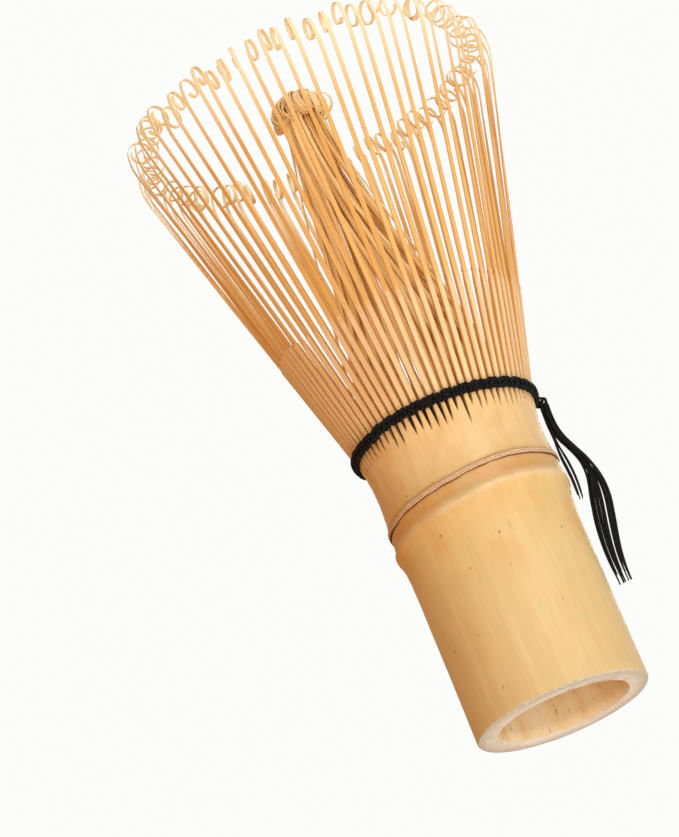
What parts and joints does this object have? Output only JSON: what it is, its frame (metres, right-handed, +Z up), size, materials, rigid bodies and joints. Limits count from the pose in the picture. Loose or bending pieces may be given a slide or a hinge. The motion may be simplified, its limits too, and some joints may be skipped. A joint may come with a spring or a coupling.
{
  "type": "bamboo tea whisk",
  "caption": "Bamboo tea whisk: hollow culm handle, a ring of curled outer tines, inner tines gathered to a knot, and a black thread woven round their roots.",
  "frame": {"origin": "middle of the open base rim, at the bottom of the whisk", "axes": "+Z up the culm's axis, towards the tine tips; +X towards the side where the thread is tied off"},
  "size_m": [0.0626, 0.0626, 0.1166],
  "materials": {
    "bamboo_culm": "smooth natural skin, satin",
    "sheath_scar": "matt fibrous scar",
    "bamboo_outer_tine": "split and pared, satin",
    "bamboo_inner_tine": "split and pared, satin",
    "black_thread": "twisted thread"
  },
  "bodies": {
    "handle": {"culm_handle": "bamboo_culm", "sheath_scar": "sheath_scar", "inner_tines_1": "bamboo_inner_tine", "inner_tines_2": "bamboo_inner_tine", "inner_tines_3": "bamboo_inner_tine", "inner_tines_4": "bamboo_inner_tine", "inner_tines_5": "bamboo_inner_tine", "inner_tines_6": "bamboo_inner_tine", "inner_tip_knot": "bamboo_inner_tine", "thread_round_lower": "black_thread", "thread_round_upper": "black_thread", "thread_round_inner": "black_thread", "thread_knot": "black_thread", "thread_tail": "black_thread", "thread_strand": "black_thread"},
    "outer_flex_01": {"outer_tines_01": "bamboo_outer_tine"},
    "outer_flex_02": {"outer_tines_02": "bamboo_outer_tine"},
    "outer_flex_03": {"outer_tines_03": "bamboo_outer_tine"},
    "outer_flex_04": {"outer_tines_04": "bamboo_outer_tine"},
    "outer_flex_05": {"outer_tines_05": "bamboo_outer_tine"},
    "outer_flex_06": {"outer_tines_06": "bamboo_outer_tine"},
    "outer_flex_07": {"outer_tines_07": "bamboo_outer_tine"},
    "outer_flex_08": {"outer_tines_08": "bamboo_outer_tine"},
    "outer_flex_09": {"outer_tines_09": "bamboo_outer_tine"},
    "outer_flex_10": {"outer_tines_10": "bamboo_outer_tine"},
    "outer_flex_11": {"outer_tines_11": "bamboo_outer_tine"},
    "outer_flex_12": {"outer_tines_12": "bamboo_outer_tine"},
    "outer_flex_13": {"outer_tines_13": "bamboo_outer_tine"},
    "outer_flex_14": {"outer_tines_14": "bamboo_outer_tine"},
    "outer_flex_15": {"outer_tines_15": "bamboo_outer_tine"},
    "outer_flex_16": {"outer_tines_16": "bamboo_outer_tine"},
    "outer_flex_17": {"outer_tines_17": "bamboo_outer_tine"},
    "outer_flex_18": {"outer_tines_18": "bamboo_outer_tine"},
    "outer_flex_19": {"outer_tines_19": "bamboo_outer_tine"},
    "outer_flex_20": {"outer_tines_20": "bamboo_outer_tine"},
    "outer_flex_21": {"outer_tines_21": "bamboo_outer_tine"},
    "outer_flex_22": {"outer_tines_22": "bamboo_outer_tine"},
    "outer_flex_23": {"outer_tines_23": "bamboo_outer_tine"},
    "outer_flex_24": {"outer_tines_24": "bamboo_outer_tine"}
  },
  "joints": [
    {"name": "flex_01", "type": "hinge", "parent": "handle", "child": "outer_flex_01", "pos_m": [0.01509, 0.00132, 0.0512], "axis": [-0.0872, 0.9962, 0], "range_deg": [-4, 4], "stiffness_Nm_per_rad": 0.009},
    {"name": "flex_02", "type": "hinge", "parent": "handle", "child": "outer_flex_02", "pos_m": [0.01424, 0.00518, 0.0512], "axis": [-0.342, 0.9397, 0], "range_deg": [-4, 4], "stiffness_Nm_per_rad": 0.009},
    {"name": "flex_03", "type": "hinge", "parent": "handle", "child": "outer_flex_03", "pos_m": [0.01241, 0.00869, 0.0512], "axis": [-0.5736, 0.8192, 0], "range_deg": [-4, 4], "stiffness_Nm_per_rad": 0.009},
    {"name": "flex_04", "type": "hinge", "parent": "handle", "child": "outer_flex_04", "pos_m": [0.00974, 0.01161, 0.0512], "axis": [-0.766, 0.6428, 0], "range_deg": [-4, 4], "stiffness_Nm_per_rad": 0.009},
    {"name": "flex_05", "type": "hinge", "parent": "handle", "child": "outer_flex_05", "pos_m": [0.0064, 0.01373, 0.0512], "axis": [-0.9063, 0.4226, 0], "range_deg": [-4, 4], "stiffness_Nm_per_rad": 0.009},
    {"name": "flex_06", "type": "hinge", "parent": "handle", "child": "outer_flex_06", "pos_m": [0.00263, 0.01492, 0.0512], "axis": [-0.9848, 0.1736, 0], "range_deg": [-4, 4], "stiffness_Nm_per_rad": 0.009},
    {"name": "flex_07", "type": "hinge", "parent": "handle", "child": "outer_flex_07", "pos_m": [-0.00132, 0.01509, 0.0512], "axis": [-0.9962, -0.0872, 0], "range_deg": [-4, 4], "stiffness_Nm_per_rad": 0.009},
    {"name": "flex_08", "type": "hinge", "parent": "handle", "child": "outer_flex_08", "pos_m": [-0.00518, 0.01424, 0.0512], "axis": [-0.9397, -0.342, 0], "range_deg": [-4, 4], "stiffness_Nm_per_rad": 0.009},
    {"name": "flex_09", "type": "hinge", "parent": "handle", "child": "outer_flex_09", "pos_m": [-0.00869, 0.01241, 0.0512], "axis": [-0.8192, -0.5736, 0], "range_deg": [-4, 4], "stiffness_Nm_per_rad": 0.009},
    {"name": "flex_10", "type": "hinge", "parent": "handle", "child": "outer_flex_10", "pos_m": [-0.01161, 0.00974, 0.0512], "axis": [-0.6428, -0.766, 0], "range_deg": [-4, 4], "stiffness_Nm_per_rad": 0.009},
    {"name": "flex_11", "type": "hinge", "parent": "handle", "child": "outer_flex_11", "pos_m": [-0.01373, 0.0064, 0.0512], "axis": [-0.4226, -0.9063, 0], "range_deg": [-4, 4], "stiffness_Nm_per_rad": 0.009},
    {"name": "flex_12", "type": "hinge", "parent": "handle", "child": "outer_flex_12", "pos_m": [-0.01492, 0.00263, 0.0512], "axis": [-0.1736, -0.9848, 0], "range_deg": [-4, 4], "stiffness_Nm_per_rad": 0.009},
    {"name": "flex_13", "type": "hinge", "parent": "handle", "child": "outer_flex_13", "pos_m": [-0.01509, -0.00132, 0.0512], "axis": [0.0872, -0.9962, 0], "range_deg": [-4, 4], "stiffness_Nm_per_rad": 0.009},
    {"name": "flex_14", "type": "hinge", "parent": "handle", "child": "outer_flex_14", "pos_m": [-0.01424, -0.00518, 0.0512], "axis": [0.342, -0.9397, 0], "range_deg": [-4, 4], "stiffness_Nm_per_rad": 0.009},
    {"name": "flex_15", "type": "hinge", "parent": "handle", "child": "outer_flex_15", "pos_m": [-0.01241, -0.00869, 0.0512], "axis": [0.5736, -0.8192, 0], "range_deg": [-4, 4], "stiffness_Nm_per_rad": 0.009},
    {"name": "flex_16", "type": "hinge", "parent": "handle", "child": "outer_flex_16", "pos_m": [-0.00974, -0.01161, 0.0512], "axis": [0.766, -0.6428, 0], "range_deg": [-4, 4], "stiffness_Nm_per_rad": 0.009},
    {"name": "flex_17", "type": "hinge", "parent": "handle", "child": "outer_flex_17", "pos_m": [-0.0064, -0.01373, 0.0512], "axis": [0.9063, -0.4226, 0], "range_deg": [-4, 4], "stiffness_Nm_per_rad": 0.009},
    {"name": "flex_18", "type": "hinge", "parent": "handle", "child": "outer_flex_18", "pos_m": [-0.00263, -0.01492, 0.0512], "axis": [0.9848, -0.1736, 0], "range_deg": [-4, 4], "stiffness_Nm_per_rad": 0.009},
    {"name": "flex_19", "type": "hinge", "parent": "handle", "child": "outer_flex_19", "pos_m": [0.00132, -0.01509, 0.0512], "axis": [0.9962, 0.0872, 0], "range_deg": [-4, 4], "stiffness_Nm_per_rad": 0.009},
    {"name": "flex_20", "type": "hinge", "parent": "handle", "child": "outer_flex_20", "pos_m": [0.00518, -0.01424, 0.0512], "axis": [0.9397, 0.342, 0], "range_deg": [-4, 4], "stiffness_Nm_per_rad": 0.009},
    {"name": "flex_21", "type": "hinge", "parent": "handle", "child": "outer_flex_21", "pos_m": [0.00869, -0.01241, 0.0512], "axis": [0.8192, 0.5736, 0], "range_deg": [-4, 4], "stiffness_Nm_per_rad": 0.009},
    {"name": "flex_22", "type": "hinge", "parent": "handle", "child": "outer_flex_22", "pos_m": [0.01161, -0.00974, 0.0512], "axis": [0.6428, 0.766, 0], "range_deg": [-4, 4], "stiffness_Nm_per_rad": 0.009},
    {"name": "flex_23", "type": "hinge", "parent": "handle", "child": "outer_flex_23", "pos_m": [0.01373, -0.0064, 0.0512], "axis": [0.4226, 0.9063, 0], "range_deg": [-4, 4], "stiffness_Nm_per_rad": 0.009},
    {"name": "flex_24", "type": "hinge", "parent": "handle", "child": "outer_flex_24", "pos_m": [0.01492, -0.00263, 0.0512], "axis": [0.1736, 0.9848, 0], "range_deg": [-4, 4], "stiffness_Nm_per_rad": 0.009}
  ]
}
